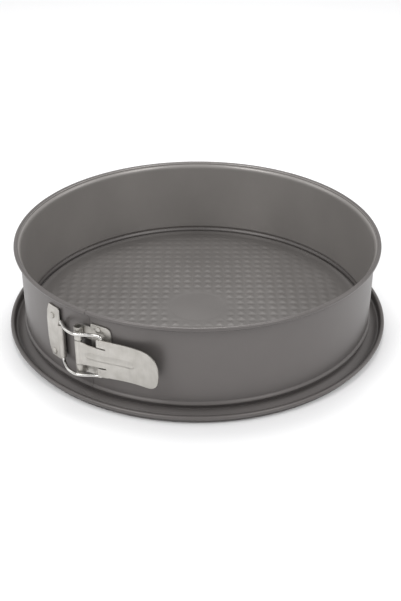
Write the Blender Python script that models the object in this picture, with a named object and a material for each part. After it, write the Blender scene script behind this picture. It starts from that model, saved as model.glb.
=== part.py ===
"""A springform pan: a flat base with a drip gutter, a hoop that clamps on it, and an over-centre clasp.

Metres, +Z up. The origin is the middle of the base's underside. The clasp is on the -Y side, and
+X runs to the right as it is seen from outside. The hoop is three arcs of one steel strip: it bends
where they meet, at two upright axes near the back.
"""

from math import cos, pi, radians, sin, sqrt

import bmesh
import bpy
from mathutils import Vector

MM = 0.001

# Hoop
WALL_IN = 130.0 * MM
SHEET = 0.6 * MM
WALL_OUT = WALL_IN + SHEET
HOOP_LOW = 4.5 * MM
BEAD_Z = 8.2 * MM
BEAD_HALF = 2.4 * MM
BEAD_OUT = 1.5 * MM
RIM_R = 133.2 * MM
RIM_Z = 68.1 * MM
RIM_THICK_R = 1.6 * MM
RIM_NECK = 3.2 * MM
SEAM_DEG = 7.4
FLEX_DEG = 160.0
END_GAP_DEG = 0.14
LAP_LEFT_DEG = -2.2
LAP_ROOT_DEG = 8.9
LAP_GAP = 0.5 * MM
LAP_Z = (14.0 * MM, 62.0 * MM)
ARC_STEP_DEG = 5.0

# Base
FLOOR_TOP = 5.2 * MM
FLOOR_UNDER = 4.3 * MM
BASE_BEAD_R = 141.0 * MM
BASE_BEAD_Z = 4.8 * MM
BASE_BEAD_THICK_R = 1.7 * MM
BASE_STEP_DEG = 5.0

# Clasp: three upright axes as (x, y), and heights
HINGE_AXIS = (11.5 * MM, -134.9 * MM)
BAR_AXIS = (-6.5 * MM, -133.6 * MM)
TAB_AXIS = (28.6 * MM, -131.2 * MM)
PLATE_IN = WALL_OUT + 0.3 * MM
PLATE_THICK = 0.8 * MM
ROLL_IN = 1.5 * MM
ROLL_OUT = 2.3 * MM
WIRE_R = 1.2 * MM
BEND_R = 2.2 * MM
LEG_Z = (21.6 * MM, 53.4 * MM)
BARREL_Z = (24.5 * MM, 50.2 * MM)
PRONG_Z = (24.9 * MM, 50.3 * MM)
TAB_ROLL_Z = ((25.3 * MM, 29.3 * MM), (47.7 * MM, 49.9 * MM))
RELIEF_Z = ((29.5 * MM, 30.1 * MM), (46.9 * MM, 47.5 * MM))
TONGUE_Z = (30.3 * MM, 46.7 * MM)
KNUCKLE_Z = ((20.2 * MM, 29.9 * MM), (47.1 * MM, 57.0 * MM))
PIN_R = 1.1 * MM
PIN_Z = (21.4 * MM, 55.6 * MM)
KNUCKLE_IN = 1.4 * MM
KNUCKLE_OUT = 2.2 * MM
HANDLE_Z = (23.2 * MM, 51.8 * MM)
HANDLE_X = 26.4 * MM
LEVER_THICK = 0.8 * MM
SINK = 0.05 * MM
LEVER_END_X = 71.0 * MM
LEVER_CORNER = 12.0 * MM
RELIEF_END_X = 32.5 * MM
RIB_X = (18.5 * MM, 51.0 * MM)
RIB_Z = (35.2 * MM, 39.2 * MM)
RIB_HEIGHT = 0.7 * MM

# Outer face of the lever in plan, and the middle of a bail leg, both from left to right
LEVER_PLAN = ((11.5, -137.0), (20.0, -135.6), (28.0, -133.6), (36.0, -130.6), (44.0, -127.7),
              (52.0, -125.5), (60.0, -124.2), (71.0, -123.7))
LEG_PLAN = ((-6.5, -133.6), (-2.0, -136.3), (3.0, -138.9), (8.0, -140.0), (13.0, -139.6),
            (18.0, -136.6), (22.5, -133.2), (25.5, -131.7), (28.6, -131.2))

RIVET_SHANK_R = 1.5 * MM
RIVET_HOLE_R = 1.8 * MM
RIVET_HEAD_R = 2.3 * MM
RIVET_HEAD = 1.1 * MM
RIVETS = {
    "catch_rivet_upper": (-8.1, 51.2 * MM),
    "catch_rivet_lower": (-8.1, 22.6 * MM),
    "bracket_rivet_upper": (10.6, 56.2 * MM),
    "bracket_rivet_lower": (10.6, 22.6 * MM),
}

# Flat outlines on the wall: distance along it from the clasp's middle, lowest and highest height
CATCH_STATIONS = ((-25.4, 32.0, 46.0), (-24.6, 26.0, 52.0), (-23.2, 20.6, 57.2), (-21.6, 18.4, 59.4),
                  (-17.5, 18.4, 59.4), (-13.5, 18.4, 59.4), (-9.5, 18.9, 59.4), (-9.3, 24.5, 50.2),
                  (-6.4, 24.5, 50.2))
BRACKET_STATIONS = ((18.8, 19.8, 59.4), (22.0, 19.8, 59.4), (25.5, 19.8, 59.4), (29.4, 19.8, 59.3),
                    (31.6, 20.6, 58.4), (32.8, 22.6, 56.6), (33.6, 25.5, 53.0))


def clear_scene():
    for obj in list(bpy.data.objects):
        bpy.data.objects.remove(obj, do_unlink=True)


def material(name, colour, roughness, metallic):
    made = bpy.data.materials.new(name)
    made.use_nodes = True
    shader = made.node_tree.nodes["Principled BSDF"]
    shader.inputs["Base Color"].default_value = (*colour, 1.0)
    shader.inputs["Roughness"].default_value = roughness
    shader.inputs["Metallic"].default_value = metallic
    return made


def add_object(name, mesh_data, skin=None, origin=(0.0, 0.0)):
    """Links the mesh as an object whose origin is at origin in plan, with the shape left in place."""
    if isinstance(mesh_data, bmesh.types.BMesh):
        bmesh.ops.recalc_face_normals(mesh_data, faces=mesh_data.faces)
        data = bpy.data.meshes.new(name)
        mesh_data.to_mesh(data)
        mesh_data.free()
    else:
        data = mesh_data
    for vertex in data.vertices:
        vertex.co.x -= origin[0]
        vertex.co.y -= origin[1]
    data.shade_smooth()
    data.set_sharp_from_angle(angle=radians(35))
    obj = bpy.data.objects.new(name, data)
    obj.location = (origin[0], origin[1], 0.0)
    bpy.context.collection.objects.link(obj)
    if skin:
        data.materials.append(skin)
    return obj


def polar(radius, degrees, z):
    """A point at this angle from straight front (-Y), turning towards +X."""
    angle = radians(degrees)
    return Vector((radius * sin(angle), -radius * cos(angle), z))


def swept_arc(bm, profile, start_deg, end_deg):
    """Sweeps a closed profile of (radius, z) round the pan, with both ends capped."""
    steps = max(1, round((end_deg - start_deg) / ARC_STEP_DEG))
    loop = [bm.verts.new(polar(r, start_deg, z)) for r, z in profile]
    first = list(loop)
    for step in range(1, steps + 1):
        angle = start_deg + (end_deg - start_deg) * step / steps
        after = [bm.verts.new(polar(r, angle, z)) for r, z in profile]
        for i in range(len(profile)):
            j = (i + 1) % len(profile)
            bm.faces.new((loop[i], loop[j], after[j], after[i]))
        loop = after
    bm.faces.new(first)
    bm.faces.new(list(reversed(loop)))


def lathe(name, profile, skin, steps):
    """Turns a profile that starts and ends on the Z axis into a closed round solid."""
    bm = bmesh.new()
    verts = [bm.verts.new((r, 0.0, z)) for r, z in profile]
    edges = [bm.edges.new(pair) for pair in zip(verts, verts[1:])]
    bmesh.ops.spin(bm, geom=verts + edges, cent=(0, 0, 0), axis=(0, 0, 1), angle=2 * pi,
                   steps=steps, use_merge=True)
    bmesh.ops.remove_doubles(bm, verts=bm.verts, dist=0.001 * MM)
    return add_object(name, bm, skin)


def arc_points(centre, radius, start_deg, end_deg, count):
    """count points on a circle in a profile, from start_deg to end_deg."""
    span = end_deg - start_deg
    angles = [radians(start_deg + span * i / (count - 1)) for i in range(count)]
    return [(centre[0] + radius * cos(a), centre[1] + radius * sin(a)) for a in angles]


def bead_offset(z):
    if abs(z - BEAD_Z) >= BEAD_HALF:
        return 0.0
    return BEAD_OUT * 0.5 * (1 + cos(pi * (z - BEAD_Z) / BEAD_HALF))


def hoop_profile():
    """Section of the hoop: bottom edge, outward bead, plain wall and rolled rim."""
    heights = [HOOP_LOW] + [BEAD_Z + BEAD_HALF * (i / 3 - 1) for i in range(7)]
    outer = [(WALL_OUT + bead_offset(z), z) for z in heights]
    inner = [(WALL_IN + bead_offset(z), z) for z in heights]
    rim = arc_points((RIM_R, RIM_Z), RIM_THICK_R, -120, 170, 10)
    neck_z = RIM_Z - RIM_NECK
    return outer + [(WALL_OUT, neck_z)] + rim + [(WALL_IN, neck_z)] + inner[::-1]


def make_hoop(skin):
    profile = hoop_profile()
    spans = {
        "hoop_back": (FLEX_DEG + END_GAP_DEG / 2, 360 - FLEX_DEG - END_GAP_DEG / 2),
        "hoop_right": (SEAM_DEG + END_GAP_DEG / 2, FLEX_DEG - END_GAP_DEG / 2),
        "hoop_left": (-FLEX_DEG + END_GAP_DEG / 2, SEAM_DEG - END_GAP_DEG / 2),
    }
    made = {}
    for name, (start, end) in spans.items():
        bm = bmesh.new()
        swept_arc(bm, profile, start, end)
        made[name] = add_object(name, bm, skin)
    return made


def make_lap(hoop_right):
    """The tongue of the strip's right end, which lies inside its left end and keeps the seam shut."""
    lap_out = WALL_IN - LAP_GAP
    lap_in = lap_out - SHEET
    bm = bmesh.new()
    section = [(lap_in, LAP_Z[0]), (lap_out, LAP_Z[0]), (lap_out, LAP_Z[1]), (lap_in, LAP_Z[1])]
    swept_arc(bm, section, LAP_LEFT_DEG, LAP_ROOT_DEG)
    lap = cutter(add_object("lap_tongue_shape", bm))
    root_out = WALL_IN + SHEET / 2
    bm = bmesh.new()
    section = [(lap_in, LAP_Z[0]), (root_out, LAP_Z[0]), (root_out, LAP_Z[1]), (lap_in, LAP_Z[1])]
    swept_arc(bm, section, SEAM_DEG + 2 * END_GAP_DEG, LAP_ROOT_DEG)
    root = cutter(add_object("lap_root_shape", bm))
    boolean(lap, root, "UNION")
    boolean(hoop_right, lap, "UNION")


def base_profile():
    """Section of the base from the floor's middle outwards, over the rim bead and back underneath."""
    floor_top = FLOOR_TOP / MM
    floor_under = FLOOR_UNDER / MM
    top = [(0.0, floor_top), (123.5, floor_top), (126.2, 5.7), (127.4, 6.2), (128.3, 6.1), (128.7, 5.4),
           (128.9, 4.2), (129.4, 3.7), (131.4, 3.7), (132.6, 3.2), (133.8, 1.9), (134.8, 1.1),
           (135.8, 0.9), (138.4, 0.9), (139.4, 1.6), (139.7, 3.2)]
    under = [(140.3, 2.6), (140.1, 1.0), (139.2, 0.0), (135.6, 0.0), (134.3, 0.3), (133.2, 1.3),
             (132.2, 2.4), (131.1, 2.9), (129.2, 2.8), (128.0, 3.4), (127.7, 4.4), (125.8, 4.5),
             (123.6, floor_under), (0.0, floor_under)]
    bead = arc_points((BASE_BEAD_R / MM, BASE_BEAD_Z / MM), BASE_BEAD_THICK_R / MM, 190, -100, 11)
    return [(r * MM, z * MM) for r, z in top + bead + under]


def cutter(obj):
    obj.hide_render = True
    obj.display_type = "WIRE"
    return obj


def boolean(obj, other, operation):
    made = obj.modifiers.new(f"{operation.lower()}_{other.name}", "BOOLEAN")
    made.operation = operation
    made.solver = "EXACT"
    made.object = other


def upright_ring(bm, axis, inner, outer, z_low, z_high, sides=20):
    """An upright tube, or a rod where inner is 0."""
    def ring(radius, z):
        angles = [2 * pi * i / sides for i in range(sides)]
        return [bm.verts.new((axis[0] + radius * cos(a), axis[1] + radius * sin(a), z)) for a in angles]

    low, high = ring(outer, z_low), ring(outer, z_high)
    loops = [low, high]
    if inner:
        loops += [ring(inner, z_high), ring(inner, z_low), low]
    for first, second in zip(loops, loops[1:]):
        for i in range(sides):
            j = (i + 1) % sides
            bm.faces.new((first[i], first[j], second[j], second[i]))
    if not inner:
        bm.faces.new(low)
        bm.faces.new(high)


def tube_object(name, axis, inner, outer, z_low, z_high):
    bm = bmesh.new()
    upright_ring(bm, axis, inner, outer, z_low, z_high)
    return add_object(name, bm)


def strip_solid(bm, stations):
    """Closed strip through stations of four corners each, with its two ends capped."""
    rows = [[bm.verts.new(corner) for corner in corners] for corners in stations]
    for first, second in zip(rows, rows[1:]):
        for i in range(4):
            j = (i + 1) % 4
            bm.faces.new((first[i], first[j], second[j], second[i]))
    bm.faces.new(rows[0])
    bm.faces.new(list(reversed(rows[-1])))
    bmesh.ops.triangulate(bm, faces=bm.faces)


def wall_plate(stations):
    """A sheet plate that follows the wall's curve."""
    bm = bmesh.new()
    corners = []
    for along, low, high in stations:
        angle = along * MM / PLATE_IN * 180 / pi
        outer = PLATE_IN + PLATE_THICK
        corners.append((polar(PLATE_IN, angle, low * MM), polar(outer, angle, low * MM),
                        polar(outer, angle, high * MM), polar(PLATE_IN, angle, high * MM)))
    strip_solid(bm, corners)
    return bm


def smooth_path(points, per_span):
    """Points along a curve through the given points (Catmull-Rom), ends included."""
    vectors = [Vector(p) for p in points]
    padded = [2 * vectors[0] - vectors[1], *vectors, 2 * vectors[-1] - vectors[-2]]
    path = []
    for a, b, c, d in zip(padded, padded[1:], padded[2:], padded[3:]):
        for i in range(per_span):
            t = i / per_span
            path.append(0.5 * (2 * b + (c - a) * t + (2 * a - 5 * b + 4 * c - d) * t * t
                               + (3 * b - a - 3 * c + d) * t * t * t))
    return path + [vectors[-1]]


def lever_face():
    """Points (x, y) of the lever's outer face, in metres, with the outward normal at each."""
    path = [p * MM for p in smooth_path(LEVER_PLAN, 4)]
    found = []
    for i, point in enumerate(path):
        along = path[min(i + 1, len(path) - 1)] - path[max(i - 1, 0)]
        along.normalize()
        found.append((point, Vector((along.y, -along.x))))
    return found


def face_at(face, x):
    """The outer face's point and normal at this x."""
    for (a, na), (b, nb) in zip(face, face[1:]):
        if x <= b.x:
            t = max(0.0, (x - a.x) / (b.x - a.x))
            return a.lerp(b, t), na.lerp(nb, t).normalized()
    return face[-1]


def face_strip(face, spans, out_by, thick):
    """A sheet on the lever's face through (x, low, high) spans, its outer side out_by proud of it."""
    bm = bmesh.new()
    corners = []
    for x, low, high in spans:
        point, normal = face_at(face, x)
        outer = point + normal * out_by
        inner = outer - normal * thick
        corners.append([(*side, z) for side, z in ((inner, low), (outer, low), (outer, high), (inner, high))])
    strip_solid(bm, corners)
    return bm


def handle_spans():
    """The handle's width at each x: straight, then round at its free end."""
    low, high = HANDLE_Z
    corner_x = LEVER_END_X - LEVER_CORNER
    spans = [(HANDLE_X + (corner_x - HANDLE_X) * i / 8, low, high) for i in range(9)]
    for degrees in (20, 40, 55, 68, 80, 87):
        reach = LEVER_CORNER * sin(radians(degrees))
        inset = LEVER_CORNER * (1 - cos(radians(degrees)))
        spans.append((corner_x + reach, low + inset, high - inset))
    return spans


def make_lever(skin):
    face = lever_face()
    lever = add_object("lever", face_strip(face, handle_spans(), 0.0, LEVER_THICK), skin, HINGE_AXIS)
    for name, (low, high) in zip(("lower", "upper"), RELIEF_Z):
        spans = [(HANDLE_X - MM, low, high), (RELIEF_END_X, low, high)]
        shape = face_strip(face, spans, 2 * MM, 5 * MM)
        boolean(lever, cutter(add_object(f"relief_{name}_cut", shape)), "DIFFERENCE")
    tongue_xs = [HINGE_AXIS[0] + (HANDLE_X + MM - HINGE_AXIS[0]) * i / 5 for i in range(6)]
    tongue = face_strip(face, [(x, *TONGUE_Z) for x in tongue_xs], -SINK, LEVER_THICK - 2 * SINK)
    boolean(lever, cutter(add_object("tongue_shape", tongue)), "UNION")
    roll = tube_object("tongue_roll_shape", HINGE_AXIS, KNUCKLE_IN, KNUCKLE_OUT, *TONGUE_Z)
    boolean(lever, cutter(roll), "UNION")
    for name, span in zip(("lower", "upper"), TAB_ROLL_Z):
        roll = tube_object(f"tab_roll_{name}_shape", TAB_AXIS, ROLL_IN, ROLL_OUT, *span)
        boolean(lever, cutter(roll), "UNION")
    rib_xs = [RIB_X[0] + (RIB_X[1] - RIB_X[0]) * i / 8 for i in range(9)]
    rib = face_strip(face, [(x, *RIB_Z) for x in rib_xs], RIB_HEIGHT, RIB_HEIGHT + LEVER_THICK / 2)
    boolean(lever, cutter(add_object("rib_shape", rib)), "UNION")
    return lever


def make_catch(skin):
    plate = add_object("catch_plate", wall_plate(CATCH_STATIONS), skin)
    barrel = tube_object("barrel_shape", BAR_AXIS, ROLL_IN, ROLL_OUT, *BARREL_Z)
    boolean(plate, cutter(barrel), "UNION")
    return plate


def make_bracket(skin):
    """The plate that carries the hinge, with two arms that reach over the seam to its knuckles."""
    bracket = add_object("hinge_bracket", wall_plate(BRACKET_STATIONS), skin)
    left = Vector((HINGE_AXIS[0] + 0.4 * MM, HINGE_AXIS[1] + KNUCKLE_OUT - 0.3 * MM))
    right = Vector((20.5 * MM, -sqrt((PLATE_IN + PLATE_THICK / 2) ** 2 - (20.5 * MM) ** 2)))
    along = (right - left).normalized()
    across = Vector((along.y, -along.x)) * PLATE_THICK / 2
    for name, (low, high) in zip(("lower", "upper"), KNUCKLE_Z):
        bm = bmesh.new()
        corners = [[(*(p - across), low), (*(p + across), low), (*(p + across), high), (*(p - across), high)]
                   for p in (left, right)]
        strip_solid(bm, corners)
        arm = cutter(add_object(f"arm_{name}_shape", bm))
        knuckle = tube_object(f"knuckle_{name}_shape", HINGE_AXIS, KNUCKLE_IN, KNUCKLE_OUT, low, high)
        boolean(arm, cutter(knuckle), "UNION")
        boolean(arm, pin_room(name), "DIFFERENCE")
        boolean(bracket, arm, "UNION")
    return bracket


def pin_room(name):
    """The knuckle's hole, cut again so that the arm's end stays out of it."""
    low, high = PIN_Z[0] - 5 * MM, PIN_Z[1] + 5 * MM
    return cutter(tube_object(f"pin_room_{name}_cut", HINGE_AXIS, 0.0, KNUCKLE_IN, low, high))


def leg_points(z, prong_z):
    """Middle line of a leg from its prong in the lever's tab to its bend at the catch's bar."""
    side = 1 if z > prong_z else -1
    plan = [p * MM for p in smooth_path(LEG_PLAN, 3)]
    plan.reverse()
    prong = plan[0]
    path = [Vector((prong.x, prong.y, prong_z))]
    heading = (plan[2] - plan[0]).normalized()
    for degrees in (0, 30, 60, 90):
        angle = radians(degrees)
        spot = prong + heading * BEND_R * (1 - cos(angle))
        path.append(Vector((spot.x, spot.y, z - side * BEND_R * (1 - sin(angle)))))
    bar = plan[-1]
    for spot in plan:
        if (spot - prong).length > 1.4 * BEND_R and (spot - bar).length > 1.2 * BEND_R:
            path.append(Vector((spot.x, spot.y, z)))
    heading = (plan[-3] - bar).normalized()
    for degrees in (90, 60, 30, 0):
        angle = radians(degrees)
        spot = bar + heading * BEND_R * (1 - cos(angle))
        path.append(Vector((spot.x, spot.y, z - side * BEND_R * (1 - sin(angle)))))
    return path


def make_bail(skin):
    """One bent wire: a bar in the catch's barrel and two legs that arch over the hinge."""
    lower = leg_points(LEG_Z[0], PRONG_Z[0])
    upper = leg_points(LEG_Z[1], PRONG_Z[1])
    points = upper + lower[::-1]
    data = bpy.data.curves.new("bail_wire", "CURVE")
    data.dimensions = "3D"
    data.bevel_depth = WIRE_R
    data.bevel_resolution = 2
    data.use_fill_caps = True
    spline = data.splines.new("POLY")
    spline.points.add(len(points) - 1)
    for item, point in zip(spline.points, points):
        item.co = (point.x - BAR_AXIS[0], point.y - BAR_AXIS[1], point.z, 1.0)
    obj = bpy.data.objects.new("bail_wire", data)
    obj.location = (*BAR_AXIS, 0.0)
    bpy.context.collection.objects.link(obj)
    data.materials.append(skin)


def make_rivet(name, angle_deg, z, skin):
    """A domed rivet through the plate and the wall, with a flatter head inside the pan."""
    outside = PLATE_IN + PLATE_THICK + 0.3 * MM
    inside = WALL_IN - 0.3 * MM
    bm = bmesh.new()
    head = [(outside + RIVET_HEAD * cos(a), RIVET_HEAD_R * sin(a))
            for a in [radians(d) for d in (0, 30, 55, 75, 90)]]
    shank = [(outside, RIVET_SHANK_R), (inside, RIVET_SHANK_R)]
    tail = [(inside, RIVET_HEAD_R), (inside - 0.35 * MM, RIVET_HEAD_R * 0.8), (inside - 0.5 * MM, 0.0)]
    profile = head + shank + tail
    verts = [bm.verts.new((0.0, -along, radius)) for along, radius in profile]
    edges = [bm.edges.new(pair) for pair in zip(verts, verts[1:])]
    bmesh.ops.spin(bm, geom=verts + edges, cent=(0, 0, 0), axis=(0, 1, 0), angle=2 * pi, steps=16,
                   use_merge=True)
    bmesh.ops.remove_doubles(bm, verts=bm.verts, dist=0.001 * MM)
    rivet = add_object(name, bm, skin)
    rivet.location = (0.0, 0.0, z)
    rivet.rotation_euler = (0.0, 0.0, radians(angle_deg))
    return rivet


def cut_rivet_hole(name, angle_deg, z, targets):
    bm = bmesh.new()
    bmesh.ops.create_cone(bm, cap_ends=True, segments=16, radius1=RIVET_HOLE_R, radius2=RIVET_HOLE_R,
                          depth=12 * MM)
    hole = cutter(add_object(f"{name}_hole_cut", bm))
    hole.location = polar(WALL_OUT, angle_deg, z)
    hole.rotation_euler = (pi / 2, 0.0, radians(angle_deg))
    for target in targets:
        boolean(target, hole, "DIFFERENCE")


def build():
    clear_scene()
    coated = material("coated_steel", (0.155, 0.147, 0.142), 0.42, 0.35)
    nickel = material("nickel_steel", (0.66, 0.64, 0.60), 0.34, 1.0)
    wire = material("bright_wire", (0.72, 0.71, 0.69), 0.20, 1.0)
    lathe("base_plate", base_profile(), coated, round(360 / BASE_STEP_DEG))
    hoop = make_hoop(coated)
    make_lap(hoop["hoop_right"])
    catch = make_catch(nickel)
    bracket = make_bracket(nickel)
    for name, (angle_deg, z) in RIVETS.items():
        make_rivet(name, angle_deg, z, nickel)
        on_catch = name.startswith("catch")
        targets = (catch, hoop["hoop_left"]) if on_catch else (bracket, hoop["hoop_right"])
        cut_rivet_hole(name, angle_deg, z, targets)
    pin = tube_object("hinge_pin", HINGE_AXIS, 0.0, PIN_R, *PIN_Z)
    pin.data.materials.append(nickel)
    make_lever(nickel)
    make_bail(wire)


build()
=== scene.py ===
"""The springform pan's looks: satin coated steel, an embossed floor and a bright pressed clasp.

Everything is in metres in the CAD model's own frame: +Z up, the clasp on the -Y side.
"""

from math import cos, hypot, pi, radians, sin, sqrt

import bmesh
import bpy
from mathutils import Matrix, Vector


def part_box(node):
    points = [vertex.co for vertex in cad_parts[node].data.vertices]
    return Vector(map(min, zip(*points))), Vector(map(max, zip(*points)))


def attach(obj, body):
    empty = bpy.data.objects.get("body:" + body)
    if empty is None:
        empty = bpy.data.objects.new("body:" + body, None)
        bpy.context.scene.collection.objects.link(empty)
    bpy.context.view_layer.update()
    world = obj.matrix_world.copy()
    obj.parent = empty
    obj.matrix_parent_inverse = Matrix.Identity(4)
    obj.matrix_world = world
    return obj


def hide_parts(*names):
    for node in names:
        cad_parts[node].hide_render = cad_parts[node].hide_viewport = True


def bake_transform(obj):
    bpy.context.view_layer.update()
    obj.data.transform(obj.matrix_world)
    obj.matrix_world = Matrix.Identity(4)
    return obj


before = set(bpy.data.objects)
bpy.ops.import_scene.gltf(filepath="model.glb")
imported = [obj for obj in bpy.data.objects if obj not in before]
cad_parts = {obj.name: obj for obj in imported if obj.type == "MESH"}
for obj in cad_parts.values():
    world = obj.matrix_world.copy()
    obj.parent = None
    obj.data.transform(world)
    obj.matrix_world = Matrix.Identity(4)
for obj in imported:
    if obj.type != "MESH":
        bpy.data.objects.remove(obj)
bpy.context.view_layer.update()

MM = 0.001

# Camera: the angle and distance that give the pan's outlines
CAMERA_AZIMUTH = 40.0
CAMERA_ELEVATION = 31.34
CAMERA_DISTANCE = 0.769
LENS_MM = 59.29
SENSOR_MM = 36.0
SHIFT = (0.0050, 0.0192)

# Studio: a pale surround, and softboxes as (turn from the camera, elevation, distance, size, power)
WORLD_STRENGTH = 0.62
LIGHTS = {
    "softbox_left": (-45, 46, 1.3, 0.5, 4.6),
    "softbox_right": (45, 46, 1.3, 0.5, 3.6),
    "side_left": (-95, 30, 1.3, 0.6, 1.4),
    "side_right": (95, 30, 1.3, 0.6, 1.7),
    "softbox_top": (180, 70, 1.4, 0.6, 9.0),
}

# Sheet pieces are cut into strips on this grid
CUT_STEP = 0.02 * MM
HEIGHT_STEP = 0.001 * MM

# Hoop, as in the CAD model
SHEET = 0.6 * MM
WALL_MID = 130.3 * MM
WALL_OUT = WALL_MID + SHEET / 2
HOOP_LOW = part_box("hoop_back")[0].z
HOOP_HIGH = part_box("hoop_back")[1].z
BEAD_Z = 8.2 * MM
BEAD_HALF = 2.4 * MM
BEAD_OUT = 1.3 * MM
RIM_CURL_R = 1.3 * MM
RIM_R = 133.2 * MM
RIM_Z = HOOP_HIGH - RIM_CURL_R - SHEET / 2
# The strip runs from the back's outside to this line in front
SEAM_DEG = 7.4
SEAM_GAP_DEG = 0.06
LAP_LEFT_DEG = -2.2
LAP_RIGHT_DEG = 7.3
LAP_MID_R = 129.2 * MM
LAP_LOW = 14.3 * MM
LAP_HIGH = 61.7 * MM
LAP_ROUND = 3.0 * MM
HOOP_STEP_DEG = 1.5

# Base
FLOOR_Z = 5.2 * MM
FLOOR_UNDER = 4.3 * MM
FLOOR_EDGE_R = 128.9 * MM
FLAT_FLOOR_R = 123.5 * MM
BASE_STEPS = 480
FLOOR_RING = 0.95 * MM
WAFFLE_TURN_DEG = 40.0
WAFFLE_PITCH = 8.3 * MM
WAFFLE_FILL = 0.86
WAFFLE_HEIGHT = 0.52 * MM
WAFFLE_EDGE_R = 119.5 * MM
WAFFLE_FADE = 3.0 * MM
DISC_R = 22.0 * MM
DISC_SUNK = 0.12 * MM
DISC_EDGE = 0.9 * MM
DISC_FADE = 2.5
BASE_CURL_R = 1.25 * MM
BASE_SHEET = 0.8 * MM
BASE_BEAD = (141.0 * MM, 4.8 * MM)
# Section of the base in mm, as (radius, height): floor's edge to the curl, and back underneath
BASE_TOP = ((123.5, 5.2), (125.2, 5.35), (126.4, 5.75), (127.3, 6.12), (127.9, 6.2), (128.4, 5.95),
            (128.65, 5.4), (128.8, 4.8), (129.0, 4.4), (129.5, 4.15), (131.0, 4.1), (132.0, 3.8),
            (133.2, 3.2), (134.6, 2.4), (136.0, 1.6), (137.0, 1.1), (137.8, 0.92), (138.5, 0.95),
            (139.0, 1.25), (139.35, 1.9), (139.5, 3.1), (139.6, 4.2))
BASE_BENEATH = ((140.3, 3.3), (140.15, 1.4), (139.7, 0.3), (138.9, 0.0), (137.4, 0.0), (136.4, 0.35),
                (135.2, 1.1), (133.8, 1.95), (132.4, 2.75), (131.0, 3.25), (129.5, 3.3), (128.4, 3.5),
                (127.9, 4.1), (127.6, 4.9), (126.6, 4.9), (125.0, 4.4), (123.5, 4.3))

# Clasp, as in the CAD model: three upright axes in plan, and heights
HINGE_AXIS = Vector((11.5, -134.9)) * MM
BAR_AXIS = Vector((-6.5, -133.6)) * MM
TAB_AXIS = Vector((28.6, -131.2)) * MM
PLATE_OUT = WALL_OUT + 1.1 * MM
PLATE_THICK = 0.8 * MM
ROLL_OUT = 2.3 * MM
KNUCKLE_OUT = 2.2 * MM
WIRE_R = 1.2 * MM
BEND_R = 2.2 * MM
PRONG_CLEAR = 1.3 * BEND_R
BAR_CLEAR = 1.2 * BEND_R
LEG_Z = (21.6 * MM, 53.4 * MM)
PRONG_Z = (24.9 * MM, 50.3 * MM)
LEVER_PLAN = ((11.5, -137.1), (20.0, -135.6), (28.0, -133.6), (36.0, -130.6), (44.0, -127.7),
              (52.0, -125.5), (60.0, -124.2), (71.0, -123.7))
LEVER_ROLL_POINTS = 23
LEG_PLAN = ((-6.5, -133.6), (-2.0, -136.3), (3.0, -138.9), (8.0, -140.0), (13.0, -139.6),
            (18.0, -136.6), (22.5, -133.2), (25.5, -131.7), (28.6, -131.2))
RIVETS = {
    "catch_rivet_upper": (-8.1, 51.2 * MM),
    "catch_rivet_lower": (-8.1, 22.6 * MM),
    "bracket_rivet_upper": (10.6, 56.2 * MM),
    "bracket_rivet_lower": (10.6, 22.6 * MM),
}


# ---------------------------------------------------------------- materials

def new_material(name):
    made = bpy.data.materials.new(name)
    made.use_nodes = True
    tree = made.node_tree
    return made, tree, tree.nodes["Principled BSDF"]


def noise(tree, scale, detail, stretch=(1.0, 1.0, 1.0)):
    """Noise in the object's own coordinates, stretched along its axes."""
    coordinates = tree.nodes.new("ShaderNodeTexCoord")
    mapping = tree.nodes.new("ShaderNodeMapping")
    mapping.inputs["Scale"].default_value = stretch
    made = tree.nodes.new("ShaderNodeTexNoise")
    made.inputs["Scale"].default_value = scale
    made.inputs["Detail"].default_value = detail
    tree.links.new(coordinates.outputs["Object"], mapping.inputs["Vector"])
    tree.links.new(mapping.outputs["Vector"], made.inputs["Vector"])
    return made.outputs["Fac"]


def ramp(tree, factor, low, high, start=0.3, stop=0.7):
    made = tree.nodes.new("ShaderNodeValToRGB")
    made.color_ramp.elements[0].position = start
    made.color_ramp.elements[1].position = stop
    made.color_ramp.elements[0].color = (*low, 1.0)
    made.color_ramp.elements[1].color = (*high, 1.0)
    tree.links.new(factor, made.inputs["Fac"])
    return made.outputs["Color"]


def ranged(tree, factor, low, high):
    made = tree.nodes.new("ShaderNodeMapRange")
    made.inputs["From Min"].default_value = 0.3
    made.inputs["From Max"].default_value = 0.7
    made.inputs["To Min"].default_value = low
    made.inputs["To Max"].default_value = high
    tree.links.new(factor, made.inputs["Value"])
    return made.outputs["Result"]


def bump(tree, shader, height, strength, distance):
    made = tree.nodes.new("ShaderNodeBump")
    made.inputs["Strength"].default_value = strength
    made.inputs["Distance"].default_value = distance
    tree.links.new(height, made.inputs["Height"])
    tree.links.new(made.outputs["Normal"], shader.inputs["Normal"])


def coated_steel(name, colour, roughness):
    """Warm grey non-stick coating: satin, with a fine orange-peel and faint mottling."""
    made, tree, shader = new_material(name)
    mottling = noise(tree, 22.0, 6.0)
    speckle = noise(tree, 1500.0, 2.0)
    darker = tuple(0.95 * part for part in colour)
    lighter = tuple(1.05 * part for part in colour)
    tree.links.new(ramp(tree, mottling, darker, lighter), shader.inputs["Base Color"])
    tree.links.new(ranged(tree, mottling, roughness - 0.03, roughness + 0.03), shader.inputs["Roughness"])
    shader.inputs["Metallic"].default_value = 0.30
    shader.inputs["IOR"].default_value = 1.5
    bump(tree, shader, speckle, 0.10, 0.05 * MM)
    return made


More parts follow.
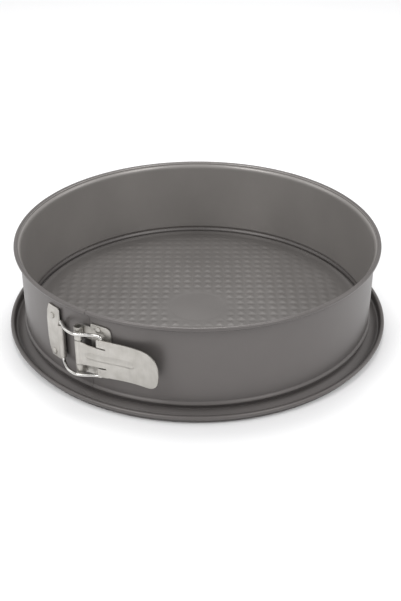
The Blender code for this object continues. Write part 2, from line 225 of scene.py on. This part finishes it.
def nickel_steel():
    """Matte nickel plating on rolled sheet: upright grain, cloudy patches and slightly duller spots."""
    made, tree, shader = new_material("matte_nickel")
    clouds = noise(tree, 120.0, 5.0)
    grain = noise(tree, 700.0, 3.0, (1.0, 1.0, 0.10))
    plating = ramp(tree, clouds, (0.42, 0.403, 0.373), (0.51, 0.493, 0.463))
    tree.links.new(plating, shader.inputs["Base Color"])
    tree.links.new(ranged(tree, grain, 0.34, 0.50), shader.inputs["Roughness"])
    shader.inputs["Metallic"].default_value = 0.88
    bump(tree, shader, grain, 0.16, 0.06 * MM)
    return made


def bright_wire():
    """Drawn wire with bright plating and faint drawing marks."""
    made, tree, shader = new_material("bright_plating")
    marks = noise(tree, 420.0, 4.0)
    tree.links.new(ramp(tree, marks, (0.58, 0.565, 0.54), (0.66, 0.65, 0.63)), shader.inputs["Base Color"])
    tree.links.new(ranged(tree, marks, 0.16, 0.26), shader.inputs["Roughness"])
    shader.inputs["Metallic"].default_value = 1.0
    bump(tree, shader, marks, 0.08, 0.04 * MM)
    return made


def pale_floor():
    made, tree, shader = new_material("pale_floor")
    grain = noise(tree, 8.0, 3.0)
    tree.links.new(ramp(tree, grain, (0.90, 0.90, 0.905), (0.91, 0.91, 0.915)), shader.inputs["Base Color"])
    shader.inputs["Roughness"].default_value = 0.9
    shader.inputs["Specular IOR Level"].default_value = 0.0
    return made


COATED = coated_steel("satin_coating", (0.122, 0.112, 0.108), 0.38)
# Painted light: the coating about 2.5 times lighter on the pan's inside, standing in for light the lamps
# don't bring there
INSIDE_PAINTED_LIGHT = coated_steel("inside_painted_light", (0.300, 0.284, 0.272), 0.30)
# Painted light: the coating about 1.3 times lighter on the floor's upper faces, standing in for light the
# lamps don't bring there
FLOOR_PAINTED_LIGHT = coated_steel("floor_painted_light", (0.160, 0.150, 0.144), 0.32)
NICKEL = nickel_steel()
WIRE = bright_wire()


# ---------------------------------------------------------------- mesh helpers

def finish_mesh(name, bm, material, sharp_deg=40.0):
    bmesh.ops.recalc_face_normals(bm, faces=bm.faces)
    data = bpy.data.meshes.new(name)
    bm.to_mesh(data)
    bm.free()
    data.shade_smooth()
    data.set_sharp_from_angle(angle=radians(sharp_deg))
    return place(name, data, material)


def place(name, data, material):
    obj = bpy.data.objects.new(name, data)
    bpy.context.scene.collection.objects.link(obj)
    data.materials.append(material)
    return obj


def paint_light_on_faces(obj, material, faces):
    """Gives the chosen faces of a piece a second material, a lighter copy of the coating: painted light."""
    obj.data.materials.append(material)
    for face in faces:
        face.material_index = 1


def polar(radius, degrees, z):
    """A point at this angle from straight front (-Y), turning towards +X."""
    angle = radians(degrees)
    return Vector((radius * sin(angle), -radius * cos(angle), z))


def arc(centre, radius, start_deg, end_deg, count):
    """count points on a circle, as (x, y), from start_deg to end_deg."""
    span = end_deg - start_deg
    angles = [radians(start_deg + span * i / (count - 1)) for i in range(count)]
    return [Vector((centre[0] + radius * cos(a), centre[1] + radius * sin(a))) for a in angles]


def smooth_path(points, per_span):
    """Points along a curve through the given points (Catmull-Rom), ends included."""
    vectors = [Vector(p) for p in points]
    padded = [2 * vectors[0] - vectors[1], *vectors, 2 * vectors[-1] - vectors[-2]]
    path = []
    for a, b, c, d in zip(padded, padded[1:], padded[2:], padded[3:]):
        for i in range(per_span):
            t = i / per_span
            path.append(0.5 * (2 * b + (c - a) * t + (2 * a - 5 * b + 4 * c - d) * t * t
                               + (3 * b - a - 3 * c + d) * t * t * t))
    return path + [vectors[-1]]


def sheet_outline(path, thick):
    """The closed outline of sheet metal whose middle runs along path."""
    normals = []
    for i, point in enumerate(path):
        along = path[min(i + 1, len(path) - 1)] - path[max(i - 1, 0)]
        along.normalize()
        normals.append(Vector((along.y, -along.x)))
    right = [p + n * thick / 2 for p, n in zip(path, normals)]
    left = [p - n * thick / 2 for p, n in zip(path, normals)]
    return right + left[::-1]


def sweep(bm, section, angles):
    """Sweeps a closed (radius, z) section round the pan through these angles, with capped ends."""
    rows = [[bm.verts.new(polar(p[0], angle, p[1])) for p in section] for angle in angles]
    count = len(section)
    for first, second in zip(rows, rows[1:]):
        for i in range(count):
            j = (i + 1) % count
            bm.faces.new((first[i], first[j], second[j], second[i]))
    bm.faces.new(rows[0])
    bm.faces.new(list(reversed(rows[-1])))


# ---------------------------------------------------------------- hoop

def bead_offset(z):
    if abs(z - BEAD_Z) >= BEAD_HALF:
        return 0.0
    return BEAD_OUT * 0.5 * (1 + cos(pi * (z - BEAD_Z) / BEAD_HALF))


def hoop_path():
    """Middle of the strip in section: lower edge, bead, wall, flare and curled rim."""
    path = [Vector((WALL_MID, HOOP_LOW))]
    steps = 14
    for i in range(steps + 1):
        z = BEAD_Z + BEAD_HALF * (2 * i / steps - 1)
        path.append(Vector((WALL_MID + bead_offset(z), z)))
    flare = [(WALL_MID, RIM_Z - 6.0 * MM), (WALL_MID, RIM_Z - 3.7 * MM),
             (WALL_MID + 0.3 * MM, RIM_Z - 2.2 * MM), (WALL_MID + 0.95 * MM, RIM_Z - 1.0 * MM)]
    path += smooth_path(flare, 3)
    path += arc((RIM_R, RIM_Z), RIM_CURL_R, 200, -95, 16)
    return path


def looks_inwards(face):
    """Whether a face of the strip is on the pan's inside, above the bead and below the rim's curl: the faces
    that get painted light.
    """
    outwards = face.center.xy.normalized()
    inside = outwards.dot(face.normal.xy) < -0.25
    return inside and face.center.z > BEAD_Z and face.center.xy.length < RIM_R - RIM_CURL_R


def hoop_angles(start, end):
    steps = round(abs(end - start) / HOOP_STEP_DEG)
    return [start + (end - start) * i / steps for i in range(steps + 1)]


def make_hoop():
    """The strip in two halves, swept round from the seam in front to meet at the back."""
    section = sheet_outline(hoop_path(), SHEET)
    sides = {
        "hoop_strip_right": (SEAM_DEG + SEAM_GAP_DEG, 180.0, "hoop_right", ("hoop_right", "hoop_back")),
        "hoop_strip_left": (SEAM_DEG - SEAM_GAP_DEG, -180.0, "hoop_left", ("hoop_left",)),
    }
    for name, (start, end, body, replaced) in sides.items():
        bm = bmesh.new()
        sweep(bm, section, hoop_angles(start, end))
        strip = finish_mesh(name, bm, COATED, 50.0)
        # The inside faces get the lighter coating: painted light
        paint_light_on_faces(strip, INSIDE_PAINTED_LIGHT, [face for face in strip.data.polygons if looks_inwards(face)])
        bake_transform(strip)
        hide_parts(*replaced)


def make_lap():
    """The right end's tongue inside the left end, with round corners."""
    left = radians(LAP_LEFT_DEG) * LAP_MID_R
    right = radians(LAP_RIGHT_DEG) * LAP_MID_R
    corner = LAP_ROUND
    outline = [(right, LAP_LOW), (right, LAP_HIGH)]
    outline += [tuple(p) for p in arc((left + corner, LAP_HIGH - corner), corner, 90, 180, 6)]
    outline += [tuple(p) for p in arc((left + corner, LAP_LOW + corner), corner, 180, 270, 6)]
    outline = [(s - left, z) for s, z in outline]
    steps = 10
    path = [polar(LAP_MID_R + SHEET / 2, LAP_LEFT_DEG + (LAP_RIGHT_DEG - LAP_LEFT_DEG) * i / steps, 0).to_2d()
            for i in range(steps + 1)]
    lap = bent_sheet("lap_tongue", outline, path, SHEET, COATED)
    # The tongue's inside faces get the lighter coating: painted light
    paint_light_on_faces(lap, INSIDE_PAINTED_LIGHT, [face for face in lap.data.polygons if looks_inwards(face)])
    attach(lap, "hoop_right")


# ---------------------------------------------------------------- bent sheet

def path_lengths(path):
    lengths = [0.0]
    for a, b in zip(path, path[1:]):
        lengths.append(lengths[-1] + (b - a).length)
    return lengths


def path_frame(path, lengths, s):
    """Point and outward normal at distance s along a plan path, whose outside is on its right."""
    for i in range(len(path) - 1):
        if s <= lengths[i + 1] or i == len(path) - 2:
            t = (s - lengths[i]) / (lengths[i + 1] - lengths[i])
            here = path[i + 1] - path[i]
            before = path[i] - path[i - 1] if i else here
            after = path[i + 2] - path[i + 1] if i + 2 < len(path) else here
            start = (before.normalized() + here.normalized()).normalized()
            end = (here.normalized() + after.normalized()).normalized()
            along = start.lerp(end, min(max(t, 0.0), 1.0)).normalized()
            return path[i].lerp(path[i + 1], t), Vector((along.y, -along.x))


def snapped(value, step):
    return round(value / step) * step


def edges_across(outline, s):
    """The outline's edges that cross the upright line at s, from low to high."""
    crossing = []
    for p, q in zip(outline, outline[1:] + outline[:1]):
        if (p[0] - s) * (q[0] - s) < 0:
            crossing.append((height_on(p, q, s), p, q))
    return [(p, q) for _, p, q in sorted(crossing)]


def height_on(p, q, s):
    return p[1] + (q[1] - p[1]) * (s - p[0]) / (q[0] - p[0])


def flat_cells(outline, lengths):
    """The outline as a flat mesh of upright strips, cut at its own corners and where its path bends."""
    outline = [(snapped(s, CUT_STEP), z) for s, z in outline]
    low, high = min(s for s, _ in outline), max(s for s, _ in outline)
    cuts = {round(s / CUT_STEP) for s, _ in outline}
    cuts |= {round(s / CUT_STEP) for s in lengths if low < s < high}
    cuts = [cut * CUT_STEP for cut in sorted(cuts)]
    cells = []
    heights = {cut: set() for cut in cuts}
    for a, b in zip(cuts, cuts[1:]):
        edges = edges_across(outline, (a + b) / 2)
        for below, above in zip(edges[::2], edges[1::2]):
            sides = {}
            for cut in (a, b):
                sides[cut] = [round(height_on(*edge, cut) / HEIGHT_STEP) for edge in (below, above)]
                heights[cut].update(sides[cut])
            cells.append(sides)
    flat = bmesh.new()
    verts = {(cut, z): flat.verts.new((cut, 0.0, z * HEIGHT_STEP))
             for cut in cuts for z in sorted(heights[cut])}
    for sides in cells:
        (a, (low_a, high_a)), (b, (low_b, high_b)) = sides.items()
        corners = [verts[b, z] for z in sorted(heights[b]) if low_b <= z <= high_b]
        corners += [verts[a, z] for z in sorted(heights[a], reverse=True) if low_a <= z <= high_a]
        if len(corners) > 2:
            flat.faces.new(corners)
    flat.verts.index_update()
    return flat


def bent_sheet(name, outline, path, thick, material, bevel=0.14 * MM):
    """Sheet metal cut to outline, as (distance along path, height), and bent to follow path in plan."""
    lengths = path_lengths(path)
    flat = flat_cells(outline, lengths)
    bm = bmesh.new()
    outer, inner = [], []
    for vert in flat.verts:
        point, normal = path_frame(path, lengths, vert.co.x)
        back = point - normal * thick
        outer.append(bm.verts.new((point.x, point.y, vert.co.z)))
        inner.append(bm.verts.new((back.x, back.y, vert.co.z)))
    for face in flat.faces:
        corners = [v.index for v in face.verts]
        bm.faces.new([outer[i] for i in corners])
        bm.faces.new([inner[i] for i in reversed(corners)])
    for edge in flat.edges:
        if len(edge.link_faces) == 1:
            i, j = (v.index for v in edge.verts)
            bm.faces.new((outer[i], outer[j], inner[j], inner[i]))
    flat.free()
    obj = finish_mesh(name, bm, material, 50.0)
    rounding = obj.modifiers.new("rounding", "BEVEL")
    rounding.width = bevel
    rounding.segments = 2
    rounding.limit_method = "ANGLE"
    rounding.angle_limit = radians(50)
    rounding.use_clamp_overlap = True
    return obj


# ---------------------------------------------------------------- base

def waffle(x, y):
    """Height of the embossing: square pyramids in turned rows, round a plain disc in the middle."""
    turn = radians(WAFFLE_TURN_DEG)
    u = (x * cos(turn) + y * sin(turn)) / WAFFLE_PITCH
    v = (-x * sin(turn) + y * cos(turn)) / WAFFLE_PITCH
    du = abs(u - round(u)) * 2
    dv = abs(v - round(v)) * 2
    slope = max(du, dv)
    height = max(0.0, 1.0 - slope / WAFFLE_FILL)
    radius = hypot(x, y)
    outer = min(max((WAFFLE_EDGE_R - radius) / WAFFLE_FADE, 0.0), 1.0)
    inner = min(max((radius - DISC_R) / (DISC_FADE * WAFFLE_FADE), 0.0), 1.0)
    return WAFFLE_HEIGHT * height * outer * inner


def floor_height(radius):
    """A shallow step round the plain disc in the middle."""
    edge = (radius - DISC_R) / DISC_EDGE
    return FLOOR_Z - DISC_SUNK * min(max(-edge, 0.0), 1.0)


def base_section():
    """Section from the floor's edge over the rolled rim, and back under to the middle."""
    curl = arc(BASE_BEAD, BASE_CURL_R + BASE_SHEET / 2, 172, -150, 22)
    return [Vector(p) * MM for p in BASE_TOP] + curl + [Vector(p) * MM for p in BASE_BENEATH]


def make_base():
    """The base as one mesh: embossed floor, ledge, gutter, rolled rim and flat underside."""
    rings = round(FLAT_FLOOR_R / FLOOR_RING)
    floor_radii = [FLAT_FLOOR_R * i / rings for i in range(1, rings)]
    section = base_section()
    bm = bmesh.new()
    centre = bm.verts.new((0, 0, floor_height(0)))
    under_centre = bm.verts.new((0, 0, FLOOR_UNDER))
    columns = []
    for step in range(BASE_STEPS):
        degrees = 360 * step / BASE_STEPS
        column = []
        for radius in floor_radii:
            spot = polar(radius, degrees, floor_height(radius))
            spot.z += waffle(spot.x, spot.y)
            column.append(bm.verts.new(spot))
        column += [bm.verts.new(polar(p[0], degrees, p[1])) for p in section]
        columns.append(column)
    for step in range(BASE_STEPS):
        first = columns[step]
        second = columns[(step + 1) % BASE_STEPS]
        bm.faces.new((centre, first[0], second[0]))
        bm.faces.new((under_centre, second[-1], first[-1]))
        for i in range(len(first) - 1):
            bm.faces.new((first[i], first[i + 1], second[i + 1], second[i]))
    base = finish_mesh("embossed_base", bm, COATED, 60.0)
    # The floor's upward faces get the lighter coating: painted light
    paint_light_on_faces(base, FLOOR_PAINTED_LIGHT, [face for face in base.data.polygons
                              if face.normal.z > 0 and face.center.xy.length < FLOOR_EDGE_R])
    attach(base, "base")
    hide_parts("base_plate")


# ---------------------------------------------------------------- clasp

def wall_points(radius, from_x, to_x, count):
    xs = [from_x + (to_x - from_x) * i / (count - 1) for i in range(count)]
    return [Vector((x, -sqrt(radius * radius - x * x))) for x in xs]


def rounded_outline(corners):
    """Outline through (s, z, radius) corners, given anticlockwise, with each corner rounded."""
    points = []
    count = len(corners)
    for i, (s, z, radius) in enumerate(corners):
        here = Vector((s, z))
        before = Vector(corners[i - 1][:2])
        after = Vector(corners[(i + 1) % count][:2])
        if radius <= 0:
            points.append((here.x, here.y))
            continue
        arm_in = (before - here).normalized() * radius
        arm_out = (after - here).normalized() * radius
        for k in range(7):
            t = k / 6
            spot = (1 - t) ** 2 * (here + arm_in) + 2 * t * (1 - t) * here + t * t * (here + arm_out)
            points.append((spot.x, spot.y))
    return points


def s_at_x(path, x, start=0):
    """Distance along a plan path to where it first reaches this x after point number start."""
    lengths = path_lengths(path)
    for i in range(start, len(path) - 1):
        a, b = path[i].x, path[i + 1].x
        if min(a, b) <= x <= max(a, b) and a != b:
            return lengths[i] + (x - a) / (b - a) * (lengths[i + 1] - lengths[i])
    raise ValueError(f"the path doesn't reach x = {x}")


def make_catch():
    """Catch plate: riveted flat, then rising over the wire's bar and rolled back under it."""
    rise = smooth_path([(-12.8, -131.08), (-11.0, -131.5), (-9.3, -133.3), (-8.0, -135.1)], 5)
    path = wall_points(PLATE_OUT, -25.6 * MM, -14.0 * MM, 9)
    path += [p * MM for p in rise]
    path += arc(BAR_AXIS, ROLL_OUT, 235, 540, 22)

    def at(x):
        return s_at_x(path, x * MM)

    end = path_lengths(path)[-1]
    neck = at(-10.2)
    neck_high = neck + 0.4 * MM
    corners = [(at(-21.6), 18.6), (at(-10.9), 18.8), (neck, 21.5), (neck, 24.7), (end, 24.7), (end, 50.1),
               (neck_high, 50.1), (neck_high, 59.4), (at(-21.6), 59.4), (at(-24.3), 53.0),
               (at(-25.3), 45.8), (at(-25.4), 38.9), (at(-25.3), 32.0), (at(-24.3), 24.8)]
    outline = [(s, z * MM) for s, z in corners]
    plate = bent_sheet("catch_plate_sheet", outline, path, PLATE_THICK, NICKEL)
    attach(plate, "hoop_left")
    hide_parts("catch_plate")


def make_bracket():
    """Hinge bracket: a plate on the wall, and two arms over the seam that roll round the pin."""
    bend = Vector((20.5 * MM, -sqrt(PLATE_OUT ** 2 - (20.5 * MM) ** 2)))
    path = arc(HINGE_AXIS, KNUCKLE_OUT, 410, 100, 26)
    path += [bend + Vector((-1.2 * MM, -0.45 * MM)), bend] + wall_points(PLATE_OUT, 22.0 * MM, 33.9 * MM, 9)
    lengths = path_lengths(path)
    plate = s_at_x(path, 18.9 * MM, 25)
    end = lengths[-1]
    corners = [(0.0, 20.3, 0), (plate - 1.0 * MM, 20.3, 0), (plate, 19.8, 0.5), (end - 0.4 * MM, 19.8, 5.0),
               (end, 39.0, 8), (end - 0.2 * MM, 59.2, 4.5), (plate + 8.0 * MM, 59.4, 1.0), (plate, 59.4, 0.8),
               (plate, 56.9, 0.5), (0.0, 56.9, 0), (0.0, 47.2, 0), (plate, 47.2, 1.0), (plate, 27.9, 1.0),
               (0.0, 27.9, 0)]
    outline = rounded_outline([(s, z * MM, r * MM) for s, z, r in corners])
    bracket = bent_sheet("hinge_bracket_sheet", outline, path, PLATE_THICK, NICKEL)
    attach(bracket, "hoop_right")
    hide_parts("hinge_bracket")


def lever_path():
    """Plan of the lever's outer face: rolled round the pin, then out along the tongue and handle."""
    face = [p * MM for p in smooth_path(LEVER_PLAN, 5)]
    roll = arc(HINGE_AXIS, KNUCKLE_OUT, -20, -270, LEVER_ROLL_POINTS + 1)
    return roll[:-1] + face


def make_lever():
    path = lever_path()

    def at(x):
        return s_at_x(path, x * MM, LEVER_ROLL_POINTS)

    end = path_lengths(path)[-1]
    corners = [(0.0, 28.3, 0), (at(13.0), 28.4, 0), (at(24.0), 30.3, 0), (at(32.6), 30.4, 0),
               (at(32.6), 29.4, 0), (at(26.5), 29.4, 0.4), (at(26.5), 23.4, 0.8), (at(32.8), 22.95, 0.4),
               (at(34.0), 23.5, 0.4), (at(36.0), 23.4, 0.6), (end, 24.4, 11.5), (end, 50.8, 13.5),
               (at(26.5), 51.8, 0.9), (at(26.5), 46.0, 0.4), (at(32.6), 45.7, 0), (at(32.6), 44.6, 0),
               (at(20.0), 45.3, 0), (at(13.5), 46.6, 0), (0.0, 46.7, 0)]
    outline = rounded_outline([(s, z * MM, r * MM) for s, z, r in corners])
    lever = bent_sheet("lever_sheet", outline, path, PLATE_THICK, NICKEL)
    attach(lever, "lever")
    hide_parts("lever")
    make_rib(path, at(17.5), at(52.0))
    for name, (z_low, z_high) in {"lower": (25.3, 29.4), "upper": (47.6, 49.9)}.items():
        roll = arc(TAB_AXIS, ROLL_OUT, 205, 205 + 320, 24)
        length = path_lengths(roll)[-1]
        outline = [(0.0, z_low * MM), (length, z_low * MM), (length, z_high * MM), (0.0, z_high * MM)]
        curl = bent_sheet(f"tab_curl_{name}", outline, roll, PLATE_THICK, NICKEL, 0.08 * MM)
        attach(curl, "lever")


def make_rib(path, first, last):
    """The pressed stiffening rib: a long low dome that fades into the lever at both ends."""
    lengths = path_lengths(path)
    bm = bmesh.new()
    rows = []
    along_steps, across_steps = 44, 10
    mid_z, half_width, rise = 37.6 * MM, 2.9 * MM, 0.85 * MM
    edge_sunk, back_sunk = 0.06 * MM, 0.3 * MM
    for i in range(along_steps + 1):
        t = i / along_steps
        distance = first + (last - first) * t
        end_in = min(t, 1 - t) * (last - first) / half_width
        taper = sqrt(max(0.0, 1 - max(0.0, 1 - end_in) ** 2))
        point, normal = path_frame(path, lengths, distance)
        row = []
        for k in range(across_steps + 1):
            side = 2 * k / across_steps - 1
            lean = (side + 1) / 2
            height = rise * taper * sin(pi * lean ** 0.6) - edge_sunk
            spot = point + normal * height
            row.append(bm.verts.new((spot.x, spot.y, mid_z + side * half_width * max(taper, 0.05))))
        back = point - normal * back_sunk
        row.append(bm.verts.new((back.x, back.y, mid_z)))
        rows.append(row)
    count = across_steps + 2
    for a, b in zip(rows, rows[1:]):
        for k in range(count):
            j = (k + 1) % count
            bm.faces.new((a[k], a[j], b[j], b[k]))
    bm.faces.new(rows[0])
    bm.faces.new(list(reversed(rows[-1])))
    rib = finish_mesh("lever_rib", bm, NICKEL, 60.0)
    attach(rib, "lever")


def bend_points(corner, heading, z, side):
    """A quarter turn of the wire: upright at corner, then level along heading at height z."""
    points = []
    for degrees in (0, 15, 30, 45, 60, 75, 90):
        angle = radians(degrees)
        spot = corner + heading * BEND_R * (1 - cos(angle))
        points.append(Vector((spot.x, spot.y, z - side * BEND_R * (1 - sin(angle)))))
    return points


def leg_points(z, prong_z):
    """Middle line of a leg, from its prong behind the lever to its bend at the catch's bar."""
    side = 1 if z > prong_z else -1
    plan = [p * MM for p in smooth_path(LEG_PLAN, 6)]
    plan.reverse()
    prong, bar = plan[0], plan[-1]
    path = [Vector((prong.x, prong.y, prong_z))]
    path += bend_points(prong, (plan[3] - prong).normalized(), z, side)
    path += [Vector((spot.x, spot.y, z)) for spot in plan
             if (spot - prong).length > PRONG_CLEAR and (spot - bar).length > BAR_CLEAR]
    path += bend_points(bar, (plan[-5] - bar).normalized(), z, side)[::-1]
    return path


def make_bail():
    points = leg_points(LEG_Z[1], PRONG_Z[1]) + leg_points(LEG_Z[0], PRONG_Z[0])[::-1]
    data = bpy.data.curves.new("bail_bent_wire", "CURVE")
    data.dimensions = "3D"
    data.bevel_depth = WIRE_R
    data.bevel_resolution = 6
    data.use_fill_caps = True
    spline = data.splines.new("POLY")
    spline.points.add(len(points) - 1)
    for item, point in zip(spline.points, points):
        item.co = (*point, 1.0)
    wire = place("bail_bent_wire", data, WIRE)
    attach(wire, "bail")
    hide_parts("bail_wire")


def turned(name, points, axis, steps, sharp_deg):
    """A solid turned from a profile round an axis through the origin."""
    bm = bmesh.new()
    verts = [bm.verts.new(point) for point in points]
    edges = [bm.edges.new(pair) for pair in zip(verts, verts[1:])]
    bmesh.ops.spin(bm, geom=verts + edges, cent=(0, 0, 0), axis=axis, angle=2 * pi, steps=steps,
                   use_merge=True)
    bmesh.ops.remove_doubles(bm, verts=bm.verts, dist=HEIGHT_STEP)
    return finish_mesh(name, bm, NICKEL, sharp_deg)


def make_rivets():
    """Domed heads with a flat foot, their shanks through the wall and a low tail inside the pan."""
    head_r, shank_r, rise = 2.3 * MM, 1.5 * MM, 1.25 * MM
    brim, tail_rise = 0.35 * MM, 0.5 * MM
    foot = PLATE_OUT - 0.05 * MM
    tail = WALL_OUT - SHEET
    dome = [(foot + brim + (rise - brim) * cos(radians(a)), head_r * sin(radians(a)))
            for a in range(0, 91, 10)]
    inside = [(tail - tail_rise * (1 - (r / head_r) ** 2), r)
              for r in (head_r, 0.8 * head_r, 0.5 * head_r, 0.0)]
    profile = dome + [(foot, head_r * 0.97), (foot, shank_r), (tail, shank_r)] + inside
    for name, (degrees, z) in RIVETS.items():
        points = [(0.0, -along, radius) for along, radius in profile]
        rivet = turned(f"{name}_head", points, (0, 1, 0), 32, 50.0)
        rivet.location = (0.0, 0.0, z)
        rivet.rotation_euler = (0.0, 0.0, radians(degrees))
        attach(rivet, "hoop_left" if name.startswith("catch") else "hoop_right")
        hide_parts(name)


def make_pin():
    """The hinge pin, its ends rounded and a little below the knuckles' mouths."""
    low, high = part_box("hinge_pin")
    radius = 1.1 * MM
    edge = 0.3 * MM
    bottom, top = low.z + 0.2 * MM, high.z - 5.5 * MM
    profile = [(0.0, bottom), (radius - edge, bottom), (radius, bottom + edge), (radius, top - edge),
               (radius - edge, top), (0.0, top)]
    pin = turned("hinge_pin_rod", [(r, 0.0, z) for r, z in profile], (0, 0, 1), 28, 40.0)
    pin.location = (*HINGE_AXIS, 0.0)
    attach(pin, "hoop_right")
    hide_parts("hinge_pin")


# ---------------------------------------------------------------- studio

def make_camera():
    azimuth, elevation = radians(CAMERA_AZIMUTH), radians(CAMERA_ELEVATION)
    data = bpy.data.cameras.new("camera")
    data.lens = LENS_MM
    data.sensor_width = SENSOR_MM
    data.shift_x, data.shift_y = SHIFT
    data.clip_start = 0.01
    camera = bpy.data.objects.new("camera", data)
    bpy.context.scene.collection.objects.link(camera)
    flat = CAMERA_DISTANCE * cos(elevation)
    camera.location = (flat * sin(azimuth), -flat * cos(azimuth), CAMERA_DISTANCE * sin(elevation))
    camera.rotation_euler = (pi / 2 - elevation, 0.0, azimuth)
    bpy.context.scene.camera = camera


def area_light(name, azimuth, elevation, distance, size, power):
    """A square soft light that faces the pan from this direction, azimuth as for the camera."""
    data = bpy.data.lights.new(name, "AREA")
    data.size = size
    data.energy = power
    light = bpy.data.objects.new(name, data)
    bpy.context.scene.collection.objects.link(light)
    a, e = radians(azimuth), radians(elevation)
    place_at = Vector((cos(e) * sin(a), -cos(e) * cos(a), sin(e))) * distance
    light.location = place_at
    light.rotation_euler = (-place_at).to_track_quat("-Z", "Y").to_euler()


def make_studio():
    scene = bpy.context.scene
    scene.view_settings.view_transform = "Standard"
    world = bpy.data.worlds.new("studio")
    scene.world = world
    world.use_nodes = True
    world.node_tree.nodes["Background"].inputs["Color"].default_value = (1.0, 1.0, 1.0, 1.0)
    world.node_tree.nodes["Background"].inputs["Strength"].default_value = WORLD_STRENGTH
    for name, (turn, elevation, distance, size, power) in LIGHTS.items():
        area_light(name, CAMERA_AZIMUTH + turn, elevation, distance, size, power)
    bm = bmesh.new()
    bmesh.ops.create_grid(bm, x_segments=8, y_segments=8, size=4.0)
    data = bpy.data.meshes.new("studio_floor")
    bm.to_mesh(data)
    bm.free()
    floor = bpy.data.objects.new("studio_floor", data)
    scene.collection.objects.link(floor)
    data.materials.append(pale_floor())


make_camera()
make_studio()
make_base()
make_hoop()
make_lap()
make_catch()
make_bracket()
make_lever()
make_bail()
make_rivets()
make_pin()
